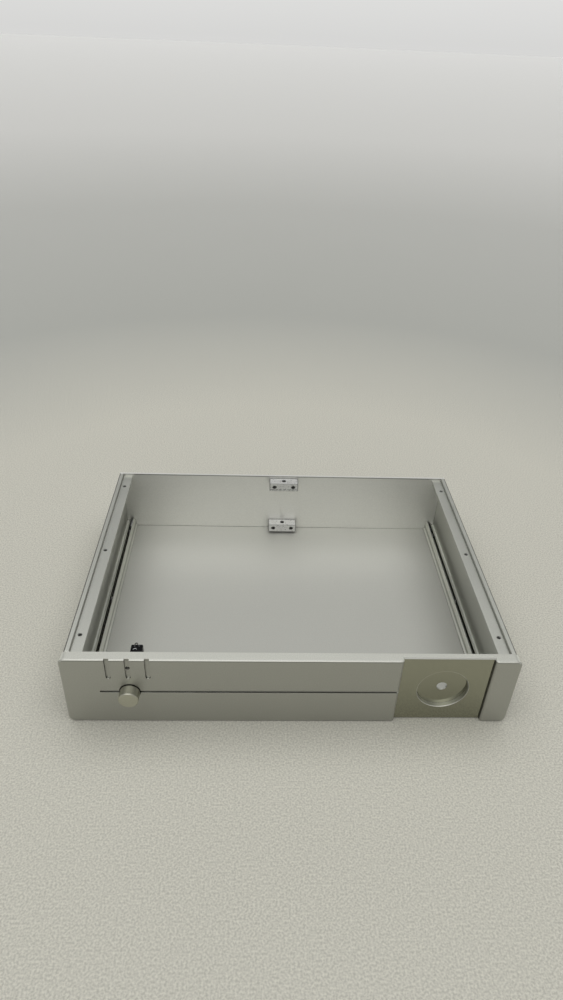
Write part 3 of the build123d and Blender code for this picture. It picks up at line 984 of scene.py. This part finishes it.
class Workpiece:
    """A mesh under construction, in millimetres, shaped with bmesh operators."""

    def __init__(self) -> None:
        """Start with an empty mesh."""
        self.bm = bmesh.new()

    def _fresh(self, before: set[bmesh.types.BMVert]) -> list[bmesh.types.BMVert]:
        """List the vertices that weren't there before."""
        return [vert for vert in self.bm.verts if vert not in before]

    def _loop(self, verts: Iterable[bmesh.types.BMVert]) -> Loop:
        """List the edges that run between these vertices."""
        chosen = set(verts)
        return [edge for edge in self.bm.edges if chosen.issuperset(edge.verts)]

    def circle(self, radius: float, level: float, segments: int = ROUND) -> Loop:
        """Start a round loop about the local axis.

        Args:
            radius: Radius of the loop.
            level: Its height.
            segments: Number of edges.

        Returns:
            The edges of the loop.
        """
        lift = Matrix.Translation((0.0, 0.0, level))
        made = bmesh.ops.create_circle(self.bm, cap_ends=False, segments=segments, radius=radius, matrix=lift)
        return self._loop(made["verts"])

    def hexagon(self, flats: float, level: float) -> Loop:
        """Start a hexagonal loop with as many edges as a round one.

        Args:
            flats: Width across the flats.
            level: Height of the loop.

        Returns:
            The edges of the loop.
        """
        before = set(self.bm.verts)
        sides = 6
        corners = self.circle(flats / math.sqrt(3.0), level, sides)
        bmesh.ops.subdivide_edges(self.bm, edges=corners, cuts=ROUND // sides - 1)
        return self._loop(self._fresh(before))

    def draw_out(self, loop: Loop, start: Station, stations: Iterable[Station]) -> Loop:
        """Extrude a loop through stations along the local axis.

        Args:
            loop: Edges of the loop.
            start: Radius and height of the loop.
            stations: Radius and height of each next loop; the radius scales a loop that isn't round.

        Returns:
            The edges of the last loop.
        """
        radius, level = start
        for next_radius, next_level in stations:
            before = set(self.bm.verts)
            bmesh.ops.extrude_edge_only(self.bm, edges=loop)
            verts = self._fresh(before)
            factor = next_radius / radius
            bmesh.ops.scale(self.bm, vec=(factor, factor, 1.0), verts=verts)
            bmesh.ops.translate(self.bm, vec=(0.0, 0.0, next_level - level), verts=verts)
            loop = self._loop(verts)
            radius, level = next_radius, next_level
        return loop

    def close(self, loop: Loop) -> None:
        """Fill a loop with a face."""
        bmesh.ops.edgeloop_fill(self.bm, edges=loop)

    def bridge(self, first: Loop, second: Loop) -> None:
        """Join two loops with faces."""
        bmesh.ops.bridge_loops(self.bm, edges=first + second)

    def helix(self, root: float, crest: float, pitch: float, bottom: float, turns: int) -> None:
        """Wind a thread ridge about the local axis.

        Args:
            root: Radius of the ridge's foot.
            crest: Radius of its edge.
            pitch: Rise of one turn.
            bottom: Height where the ridge starts.
            turns: Number of turns.
        """
        steps = 20
        tooth = 0.46  # half the ridge's width, as a share of the pitch
        corners = [
            self.bm.verts.new((root, 0.0, bottom)),
            self.bm.verts.new((crest, 0.0, bottom + tooth * pitch)),
            self.bm.verts.new((root, 0.0, bottom + 2.0 * tooth * pitch)),
        ]
        ridge = [self.bm.edges.new((corners[i - 1], corners[i])) for i in range(len(corners))]
        bmesh.ops.spin(
            self.bm,
            geom=corners + ridge,
            cent=(0.0, 0.0, 0.0),
            axis=UP,
            dvec=(0.0, 0.0, pitch / steps),
            angle=math.tau * turns,
            steps=steps * turns,
        )
        bmesh.ops.holes_fill(self.bm, edges=[edge for edge in self.bm.edges if edge.is_boundary], sides=3)

    def bow(self, radius: float, wire: float) -> None:
        """Bend a wire half round the local axis, bulging along Y.

        Args:
            radius: Radius of the bend's middle line.
            wire: Radius of the wire.
        """
        sides, steps = 12, 18
        stand = Matrix.Translation((radius, 0.0, 0.0)) @ Matrix.Rotation(math.radians(90.0), 4, "X")
        made = bmesh.ops.create_circle(self.bm, cap_ends=True, segments=sides, radius=wire, matrix=stand)
        section = made["verts"]
        geom = section + self._loop(section) + list(self.bm.faces)
        bmesh.ops.spin(self.bm, geom=geom, cent=(0.0, 0.0, 0.0), axis=UP, angle=math.pi, steps=steps)

    def block(self, size: Place, centre: Place, corner: float) -> None:
        """Add a block with rounded edges.

        Args:
            size: Length along each axis.
            centre: Middle of the block.
            corner: Width of the rounding.
        """
        before = set(self.bm.verts)
        place = Matrix.Translation(centre) @ Matrix.Diagonal((*size, 1.0))
        bmesh.ops.create_cube(self.bm, size=1.0, matrix=place)
        edges = self._loop(self._fresh(before))
        bmesh.ops.bevel(
            self.bm, geom=edges, offset=corner, segments=2, profile=0.5, affect="EDGES", material=-1
        )

    def stamp(self, form: "Workpiece", places: Iterable[Matrix]) -> None:
        """Copy a finished form to several places, and free it.

        Args:
            form: The form to copy.
            places: One matrix for each copy.
        """
        mesh = bpy.data.meshes.new("form")
        form.bm.to_mesh(mesh)
        form.bm.free()
        for place in places:
            before = set(self.bm.verts)
            self.bm.from_mesh(mesh)
            bmesh.ops.transform(self.bm, matrix=place, verts=self._fresh(before))
        bpy.data.meshes.remove(mesh)

    def piece(
        self, name: str, body: Body, finish: Finish, stands_for: Sequence[str] = ()
    ) -> None:
        """Finish the mesh as a piece of the object, at the origin.

        Args:
            name: Name of the piece.
            body: Body that it rides on.
            finish: Finish that is laid on it.
            stands_for: CAD nodes that the piece is shown for.
        """
        merge, sharp = 0.0005, math.radians(38.0)
        bmesh.ops.remove_doubles(self.bm, verts=self.bm.verts, dist=merge)
        bmesh.ops.recalc_face_normals(self.bm, faces=self.bm.faces)
        bmesh.ops.scale(self.bm, vec=(MM, MM, MM), verts=self.bm.verts)
        mesh = bpy.data.meshes.new(name)
        self.bm.to_mesh(mesh)
        self.bm.free()
        mesh.materials.append(finish.material())
        mesh.shade_smooth()
        mesh.set_sharp_from_angle(angle=sharp)
        made = bpy.data.objects.new(name, mesh)
        bpy.context.scene.collection.objects.link(made)
        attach(made, body.value)
        if stands_for:
            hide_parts(*stands_for)
        LOG.info("%s: %d faces, rides on %s", name, len(mesh.polygons), body.value)


def towards(place: Place, direction: Vector) -> Matrix:
    """Set a form on a place with its local axis along a direction.

    Args:
        place: Where the form's origin goes.
        direction: Where its local Z axis points.

    Returns:
        The matrix of that place.
    """
    return Matrix.Translation(place) @ UP.rotation_difference(direction).to_matrix().to_4x4()


def box_of(node: str) -> tuple[Vector, Vector]:
    """Give the lowest and highest corner of a CAD node, in millimetres."""
    low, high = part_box(node)
    return low / MM, high / MM


def coat(nodes: Iterable[str], finish: Finish) -> None:
    """Lay a finish on CAD nodes, whose shapes stay as they are.

    Args:
        nodes: Names of the nodes.
        finish: The finish.
    """
    for node in nodes:
        for slot in frame["nodes"][node].material_slots:
            slot.material = finish.material()
        LOG.info("%s: %s", node, finish.name)


def mount(name: str) -> dict[str, Any]:
    """Find one of the record's mounts by name."""
    return next(entry for entry in frame["record"]["mounts"] if entry["name"] == name)


@dataclass(frozen=True)
class SocketScrew:
    """A hexagon socket screw, head up, with the local plane under its head or level with it."""

    form: HeadForm
    length: float
    head: float = 5.6
    head_height: float = 1.8
    head_rim: float = 0.5
    thread: float = 3.0
    core: float = 2.5
    pitch: float = 0.5
    flats: float = 2.0
    socket_depth: float = 1.0
    ring_share: float = 0.70  # radius of the ring round the socket, as a share of the flats
    drill_share: float = 0.2  # bottom of the socket's drill point, as a share of the flats
    drill_depth: float = 0.3
    dome_steps: int = 7
    edge: float = 0.12
    thread_start: float = 0.6  # pitches from the tip to the thread
    thread_spare: float = 1.5  # pitches of the shank that the turns leave free
    thread_sunk: float = 0.05  # how deep the ridge's foot is inside the core

    def _head_stations(self) -> list[Station]:
        """List the head's loops, from the ring round the socket to the shank.

        Returns:
            Radius and height of each loop.
        """
        radius, shank, ring = self.head / 2, self.core / 2, self.flats * self.ring_share
        if self.form is HeadForm.COUNTERSUNK:
            return [
                (ring, 0.0),
                (radius - self.edge, 0.0),
                (radius - self.edge / 2, -self.edge),
                (shank, shank - radius - self.edge / 2),
            ]
        arc = [math.radians(90.0) * step / self.dome_steps for step in range(self.dome_steps + 1)]
        rise = self.head_height - self.head_rim
        dome = [
            (ring + (radius - ring) * math.sin(turn), self.head_rim + rise * math.cos(turn)) for turn in arc
        ]
        return dome + [(radius, self.edge), (radius - self.edge, 0.0), (shank, 0.0)]

    def model(self) -> Workpiece:
        """Turn the screw, sink its socket and wind its thread.

        Returns:
            The finished form.
        """
        work = Workpiece()
        stations = self._head_stations()
        top = stations[0][1]
        mouth = work.hexagon(self.flats, top)
        ring = work.circle(*stations[0])
        work.bridge(mouth, ring)
        tip = (self.core - self.pitch) / 2
        shank = [(self.core / 2, -self.length + self.pitch), (tip, -self.length)]
        work.close(work.draw_out(ring, stations[0], stations[1:] + shank))
        floor = top - self.socket_depth
        socket = [(1.0, floor), (self.drill_share, floor - self.drill_depth)]
        work.close(work.draw_out(mouth, (1.0, top), socket))
        depth = -stations[-1][1]
        turns = int((self.length - depth - self.thread_spare * self.pitch) / self.pitch)
        bottom = -self.length + self.thread_start * self.pitch
        work.helix(self.core / 2 - self.thread_sunk, self.thread / 2, self.pitch, bottom, turns)
        return work


def set_screws(
    name: str, stands_for: Sequence[str], *sets: tuple[SocketScrew, Sequence[Matrix]]
) -> None:
    """Model sets of screws as one zinc-plated piece.

    Args:
        name: Name of the piece.
        stands_for: CAD nodes that the piece is shown for.
        sets: Screws, each with the places that it is set in.
    """
    work = Workpiece()
    for screw, places in sets:
        work.stamp(screw.model(), places)
    work.piece(name, Body.CHASSIS, ZINC, stands_for)


@dataclass
class CasePanels:
    """The thick front panel, the two side extrusions, the rear panel and the bottom plate."""

    front: str = "front_panel"
    rear: str = "rear_panel"
    plate: str = "bottom_plate"
    extrusions: tuple[str, ...] = ("left_side_panel", "right_side_panel")
    screw_length: float = 9.0
    countersunk_head: float = 6.0
    rear_screw_length: float = 12.0
    rear_thread: float = 3.2

    def __post_init__(self) -> None:
        """Work out the screws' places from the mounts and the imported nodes."""
        corners, middle = mount("cover_corner_holes"), mount("cover_middle_holes")
        self.port_x = corners["dims"]["spacing_x_mm"] / 2
        centre_y = corners["pos_m"][1] / MM
        reach = corners["dims"]["spacing_y_mm"] / 2
        self.rows = (centre_y - reach, middle["pos_m"][1] / MM, centre_y + reach)
        self.seat_top = corners["pos_m"][2] / MM

    def dress(self) -> None:
        """Lay the anodised finishes."""
        coat([self.front], ANODISED_FRONT)
        coat([self.rear], ANODISED_REAR)
        coat([self.plate], ANODISED_PLATE)
        coat(self.extrusions, ANODISED_DRAWN)

    def build(self) -> None:
        """Model the screws that hold the plates."""
        block_low, block_high = box_of("lower_rear_block")
        block_y = (block_low.y + block_high.y) / 2
        spots = [(side * self.port_x, row, 0.0) for side in SIDES for row in self.rows]
        spots.append((0.0, block_y, 0.0))
        screw = SocketScrew(HeadForm.COUNTERSUNK, self.screw_length, head=self.countersunk_head)
        set_screws("plate_fixings", ["bottom_plate_screws"], (screw, [towards(spot, -UP) for spot in spots]))

        low, high = box_of("rear_panel_screws")
        rear_y = box_of(self.rear)[1].y
        core = self.rear_thread - SocketScrew.pitch
        screw = SocketScrew(HeadForm.DOMED, self.rear_screw_length, thread=self.rear_thread, core=core)
        levels = (low.z + screw.head / 2, high.z - screw.head / 2)
        places = [towards((side * self.port_x, rear_y, z), REAR) for side in SIDES for z in levels]
        set_screws("rear_fixings", ["rear_panel_screws"], (screw, places))


@dataclass
class TappedThreads:
    """Thread ridges in the open tapped holes of the rails and the rear blocks."""

    case: CasePanels
    root: float = 1.70
    crest: float = 1.27
    pitch: float = 0.5
    lead_in: float = 0.15
    rail_turns: int = 4
    block_turns: int = 14
    lower_block_turns: int = 4
    face_turns: int = 7
    face_hole_pitch: float = 18.0

    def _ridge(self, turns: int) -> Workpiece:
        """Wind a ridge that ends at the local plane, with its length below it."""
        work = Workpiece()
        work.helix(self.root, self.crest, self.pitch, -self.lead_in - (turns + 1) * self.pitch, turns)
        return work

    def build(self) -> None:
        """Model the threads of the cover holes and of the two blocks."""
        case = self.case
        spots = [(side * case.port_x, row, case.seat_top) for side in SIDES for row in case.rows]
        work = Workpiece()
        work.stamp(self._ridge(self.rail_turns), [towards(spot, UP) for spot in spots])
        work.piece("rail_threads", Body.CHASSIS, MILLED)

        work = Workpiece()
        for node, turns in (
            ("upper_rear_block", self.block_turns),
            ("lower_rear_block", self.lower_block_turns),
        ):
            low, high = box_of(node)
            middle = (low + high) / 2
            work.stamp(self._ridge(turns), [towards((0.0, middle.y, high.z), UP)])
            faces = [(side * self.face_hole_pitch / 2, low.y, middle.z) for side in SIDES]
            work.stamp(self._ridge(self.face_turns), [towards(face, -REAR) for face in faces])
        work.piece("block_threads", Body.CHASSIS, TAPPED)


@dataclass
class RearBlocks:
    """The two milled blocks at the middle of the rear panel, and their screws."""

    blocks: tuple[str, ...] = ("upper_rear_block", "lower_rear_block")
    hole_pitch: float = 18.0
    screw_length: float = 7.5

    def dress(self) -> None:
        """Lay each block's own milled finish."""
        for block, finish in zip(self.blocks, (UPPER_MILLED, LOWER_MILLED)):
            coat([block], finish)

    def build(self) -> None:
        """Model the screws through the rear panel."""
        rear_y = box_of("rear_panel")[1].y
        spots = []
        for block in self.blocks:
            low, high = box_of(block)
            spots += [(side * self.hole_pitch / 2, rear_y, (low.z + high.z) / 2) for side in SIDES]
        screw = SocketScrew(HeadForm.DOMED, self.screw_length)
        set_screws("block_fixings", ["block_screws"], (screw, [towards(spot, REAR) for spot in spots]))


@dataclass
class FrontBrackets:
    """Angles between the front panel and the sides, and their screws."""

    brackets: tuple[str, ...] = ("left_front_bracket", "right_front_bracket")
    thickness: float = 2.5
    hole_inset: float = 8.0
    hole_pitch: float = 18.0
    panel_grip: float = 5.0
    wall_grip: float = 1.8

    def dress(self) -> None:
        """Lay the milled finish."""
        coat(self.brackets, MILLED)

    def build(self) -> None:
        """Model the screws into the panel and into the walls."""
        panel_spots, wall_spots = [], []
        for bracket, side in zip(self.brackets, SIDES):
            low, high = box_of(bracket)
            heel_x = high.x if side > 0 else low.x
            for level in ((low.z + high.z) / 2 + turn * self.hole_pitch / 2 for turn in SIDES):
                panel = (heel_x - side * self.hole_inset, low.y + self.thickness, level)
                wall = (heel_x - side * self.thickness, low.y + self.hole_inset, level)
                panel_spots.append(towards(panel, REAR))
                wall_spots.append(towards(wall, Vector((-side, 0.0, 0.0))))
        set_screws(
            "bracket_fixings",
            ["bracket_panel_screws", "bracket_wall_screws"],
            (SocketScrew(HeadForm.DOMED, self.thickness + self.panel_grip), panel_spots),
            (SocketScrew(HeadForm.DOMED, self.thickness + self.wall_grip), wall_spots),
        )


@dataclass
class PowerSwitch:
    """The turned button and the mains switch that it pushes."""

    corner: float = 0.5
    nose: float = 6.4
    nose_depth: float = 1.0
    seam_inset: float = 5.0
    seam_width: float = 0.45
    seam_depth: float = 0.25
    end_margin: float = 1.1
    end_depth: float = 0.6
    plunger_way: float = 4.0
    draft: float = 0.05  # how far a sunk wall leans in
    belt_draft: float = 0.04
    rivet: float = 1.1
    rivet_height: float = 0.25
    rivet_sunk: float = 0.2
    rivet_crown: tuple[Station, ...] = ((1.0, 0.3), (0.85, 0.75), (0.5, 1.0))  # shares of radius and height
    rivet_spread: float = 3.3
    rivet_inset: float = 1.6
    latch_radius: float = 1.2
    latch_wire: float = 0.7
    latch_offset: float = 1.0
    latch_inset: float = 5.4
    lug_width: float = 2.4
    lug_thickness: float = 0.8
    lug_eye: float = 1.2
    lug_eye_length: float = 3.0
    screw_pitch: float = 22.0
    screw_length: float = 12.0

    def __post_init__(self) -> None:
        """Take the housing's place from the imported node."""
        self.low, self.high = box_of("switch_housing")
        self.middle = (self.low + self.high) / 2
        self.front_y = self.low.y + self.nose_depth

    def dress(self) -> None:
        """Lay the finishes on the parts that keep their CAD shape."""
        coat(["power_button"], ANODISED_TURNED)
        coat(["switch_plunger"], PALE)
        coat(["switch_saddle", "switch_spacers"], ZINC)

    def _belt(self, work: Workpiece, start: float, width: float, depth: float) -> None:
        """Sink a belt round the housing.

        Args:
            work: The housing.
            start: Where the belt starts along the depth of the case.
            width: Its width.
            depth: How far it is sunk.
        """
        end, upright = start + width, 0.5
        for level in (start, end):
            geom = [*work.bm.verts, *work.bm.edges, *work.bm.faces]
            bmesh.ops.bisect_plane(work.bm, geom=geom, plane_co=(0.0, level, 0.0), plane_no=REAR)
        belt = [
            face for face in work.bm.faces
            if start < face.calc_center_median().y < end and abs(face.normal.y) < upright
        ]
        bmesh.ops.inset_region(
            work.bm, faces=belt, thickness=self.belt_draft, depth=-depth, use_even_offset=True
        )

    def _pocket(self, work: Workpiece, facing: Vector, margin: float, depth: float) -> None:
        """Sink the end face of the housing.

        Args:
            work: The housing.
            facing: Where the end face looks.
            margin: Rim left round the pocket.
            depth: Depth of the pocket.
        """
        work.bm.normal_update()
        end = max(work.bm.faces, key=lambda face: (round(face.normal.dot(facing), 3), face.calc_area()))
        for inset, sink in ((margin, 0.0), (self.draft, -depth)):
            bmesh.ops.inset_region(work.bm, faces=[end], thickness=inset, depth=sink, use_even_offset=True)

    def _housing(self) -> None:
        """Model the moulded housing with its seam and sunk ends."""
        work = Workpiece()
        length = self.high.y - self.front_y
        size = (self.high.x - self.low.x, length, self.high.z - self.low.z)
        work.block(size, (self.middle.x, self.front_y + length / 2, self.middle.z), self.corner)
        self._belt(work, self.high.y - self.seam_inset, self.seam_width, self.seam_depth)
        self._pocket(work, REAR, self.end_margin, self.end_depth)
        nose = Workpiece()
        nose_length = 2.0 * self.nose_depth
        nose.block(
            (self.nose, nose_length, self.nose), (self.middle.x, self.front_y, self.middle.z), self.corner / 2
        )
        nose_margin = (self.nose - self.plunger_way) / 2
        self._pocket(nose, -REAR, nose_margin, nose_length - self.corner)
        work.stamp(nose, [Matrix.Identity(4)])
        work.piece("switch_case", Body.CHASSIS, BLACK, ["switch_housing"])

    def _rivets(self) -> None:
        """Model the rivet heads on top of the housing."""
        rivet = Workpiece()
        radius = self.rivet / 2
        foot = rivet.circle(radius, -self.rivet_sunk)
        rivet.close(foot)
        crown = [(radius * width, self.rivet_height * rise) for width, rise in self.rivet_crown]
        rivet.close(rivet.draw_out(foot, (radius, -self.rivet_sunk), crown))
        spots = [
            (self.middle.x + side * self.rivet_spread / 2, self.high.y - self.rivet_inset, self.high.z)
            for side in SIDES
        ]
        work = Workpiece()
        work.stamp(rivet, [towards(spot, UP) for spot in spots])
        work.piece("switch_rivets", Body.CHASSIS, BURNISHED)

    def _latch(self) -> None:
        """Model the bent wire of the push latch, half sunk in the top of the housing."""
        work = Workpiece()
        work.bow(self.latch_radius, self.latch_wire / 2)
        spot = (self.middle.x - self.latch_offset, self.high.y - self.latch_inset, self.high.z)
        bmesh.ops.translate(work.bm, vec=spot, verts=work.bm.verts)
        work.piece("switch_latch", Body.CHASSIS, ZINC)

    @staticmethod
    def _stretch(work: Workpiece, loop: Loop, length: float) -> None:
        """Draw the front half of a round loop out towards the front of the case."""
        roots = {vert for edge in loop for vert in edge.verts if vert.co.y < -NEAR}
        bmesh.ops.translate(work.bm, vec=(0.0, -length, 0.0), verts=list(roots))

    def _lugs(self) -> None:
        """Model the solder lugs with round ends and eyes."""
        low, high = box_of("switch_terminals")
        lug = Workpiece()
        radius = self.lug_width / 2
        outline = lug.circle(radius, 0.0)
        self._stretch(lug, outline, high.y - low.y + self.end_depth - radius)
        eye = lug.circle(self.lug_eye / 2, 0.0)
        self._stretch(lug, eye, self.lug_eye_length - self.lug_eye)
        bmesh.ops.triangle_fill(lug.bm, use_beauty=True, use_dissolve=False, edges=outline + eye)
        raised = bmesh.ops.extrude_face_region(lug.bm, geom=list(lug.bm.faces))["geom"]
        verts = [item for item in raised if isinstance(item, bmesh.types.BMVert)]
        bmesh.ops.translate(lug.bm, vec=(0.0, 0.0, self.lug_thickness), verts=verts)
        levels = (low.z, high.z - self.lug_thickness)
        work = Workpiece()
        work.stamp(lug, [Matrix.Translation(((low.x + high.x) / 2, high.y - radius, z)) for z in levels])
        work.piece("switch_lugs", Body.CHASSIS, TARNISHED, ["switch_terminals"])

    def _screws(self) -> None:
        """Model the screws through the saddle."""
        screw = SocketScrew(HeadForm.DOMED, self.screw_length)
        spots = [
            (self.middle.x + side * self.screw_pitch / 2, self.front_y, self.middle.z) for side in SIDES
        ]
        set_screws("saddle_fixings", ["switch_screws"], (screw, [towards(spot, REAR) for spot in spots]))

    def build(self) -> None:
        """Model the housing, its rivets, latch and lugs, and the screws."""
        self._housing()
        self._rivets()
        self._latch()
        self._lugs()
        self._screws()


@dataclass
class Studio:
    """Floor, soft light from all round, and the camera."""

    floor_radius: float = 40000.0
    floor_sides: int = 96
    eye: Place = (-29.361, -446.880, 419.813)
    pitch: float = 34.1645
    yaw: float = 2.8443
    roll: float = 2.4732
    focal_pixels: float = 685.185
    frame_height: float = 1000.0
    sensor: float = 36.0
    clip: tuple[float, float] = (0.01, 50.0)  # metres
    tent_heights: tuple[float, ...] = (0.0, 14.0, 27.0, 37.0, 46.0, 58.0, 90.0)
    back_levels: tuple[float, ...] = (0.675, 0.98, 0.10, 0.01, 0.52, 1.31, 0.46)
    front_levels: tuple[float, ...] = (0.55, 0.40, 0.33, 0.56, 0.94, 1.25, 1.31)
    tent_tint: Colour = (1.0, 1.0, 0.985)
    tent_peak: float = 1.5
    tent_front: Span = (-0.3, 0.7)  # part of a direction towards the front, where the levels change over
    lamp_turn: float = -12.0  # degrees from the front towards the right
    lamp_height: float = 36.0
    lamp_spread: Span = (34.0, 4.0)  # degrees from its middle to where it ends, and to where it is full
    lamp_strength: float = 0.80

    def floor(self) -> None:
        """Lay the pale floor under the object."""
        work = Workpiece()
        work.close(work.circle(self.floor_radius, 0.0, self.floor_sides))
        bmesh.ops.recalc_face_normals(work.bm, faces=work.bm.faces)
        bmesh.ops.scale(work.bm, vec=(MM, MM, MM), verts=work.bm.verts)
        mesh = bpy.data.meshes.new("studio_floor")
        work.bm.to_mesh(mesh)
        work.bm.free()
        mesh.materials.append(PaleSheet("pale_sheet").material())
        made = bpy.data.objects.new("studio_floor", mesh)
        bpy.context.scene.collection.objects.link(made)
        LOG.info("studio_floor: %.1f m across", 2.0 * self.floor_radius * MM)

    def _lamp(self, graph: ShaderGraph, aim: Socket) -> Signal:
        """Make a soft round patch of light on the tent.

        Args:
            graph: Graph of the world.
            aim: Direction that is looked along.

        Returns:
            The patch, from 0 to 1.
        """
        level, side = math.radians(self.lamp_height), math.radians(self.lamp_turn)
        middle = (math.cos(level) * math.sin(side), -math.cos(level) * math.cos(side), math.sin(level))
        dot = graph.add("ShaderNodeVectorMath", {"operation": "DOT_PRODUCT"}, {0: aim, 1: middle})
        return graph.signal(dot, "Value").step(*(math.cos(math.radians(angle)) for angle in self.lamp_spread))

    def light(self) -> None:
        """Light the scene from a soft tent, graded from the horizon up, with a lamp behind the camera."""
        world = bpy.data.worlds.new("light_tent")
        world.use_nodes = True
        bpy.context.scene.world = world
        graph = ShaderGraph(world.node_tree)
        aim = graph.add("ShaderNodeTexCoord").outputs["Generated"]
        rearward, rise = graph.parts(aim, Along.Y, Along.Z)
        back, front = (self._grade(graph, rise, levels) for levels in (self.back_levels, self.front_levels))
        tent = graph.mix((-rearward).step(*self.tent_front), back, front)
        lamp = self._lamp(graph, aim)
        cloth = graph.add("ShaderNodeBackground", {}, {"Color": tent, "Strength": self.tent_peak})
        glow = graph.add("ShaderNodeBackground", {}, {"Strength": lamp * self.lamp_strength})
        both = graph.add("ShaderNodeAddShader", {}, {0: cloth.outputs[0], 1: glow.outputs[0]})
        graph.add("ShaderNodeOutputWorld", {}, {"Surface": both.outputs[0]})

    def _grade(self, graph: ShaderGraph, rise: Signal, levels: Sequence[float]) -> Socket:
        """Grade the tent from the horizon to overhead.

        Args:
            graph: Graph of the world.
            rise: Sine of the angle above the horizon.
            levels: Brightness at each of the tent's heights.

        Returns:
            The graded colour, as a share of the tent's peak.
        """
        return graph.ramp(rise, [
            (
                math.sin(math.radians(height)),
                tuple(level / self.tent_peak * channel for channel in self.tent_tint),
            )
            for height, level in zip(self.tent_heights, levels)
        ])

    def camera(self) -> None:
        """Set the camera at the photograph's viewing angle."""
        lens = bpy.data.cameras.new("view")
        lens.sensor_width = self.sensor
        lens.lens = self.focal_pixels * self.sensor / self.frame_height
        lens.clip_start, lens.clip_end = self.clip
        made = bpy.data.objects.new("view", lens)
        bpy.context.scene.collection.objects.link(made)
        made.matrix_world = (
            Matrix.Translation(Vector(self.eye) * MM)
            @ Matrix.Rotation(-math.radians(self.yaw), 4, "Z")
            @ Matrix.Rotation(math.radians(90.0 - self.pitch), 4, "X")
            @ Matrix.Rotation(math.radians(self.roll), 4, "Z")
        )
        bpy.context.scene.camera = made

    def build(self) -> None:
        """Set up floor, light, camera and the plain view transform."""
        self.floor()
        self.light()
        self.camera()
        bpy.context.scene.view_settings.view_transform = "Standard"


def main() -> None:
    """Build the sub-assemblies in order, and report each piece."""
    logging.basicConfig(level=logging.INFO, format="%(name)s: %(message)s")
    case = CasePanels()
    case.dress()
    case.build()
    TappedThreads(case).build()
    for part in (RearBlocks(), FrontBrackets(), PowerSwitch()):
        part.dress()
        part.build()
    Studio().build()


if __name__ == "__main__":
    main()
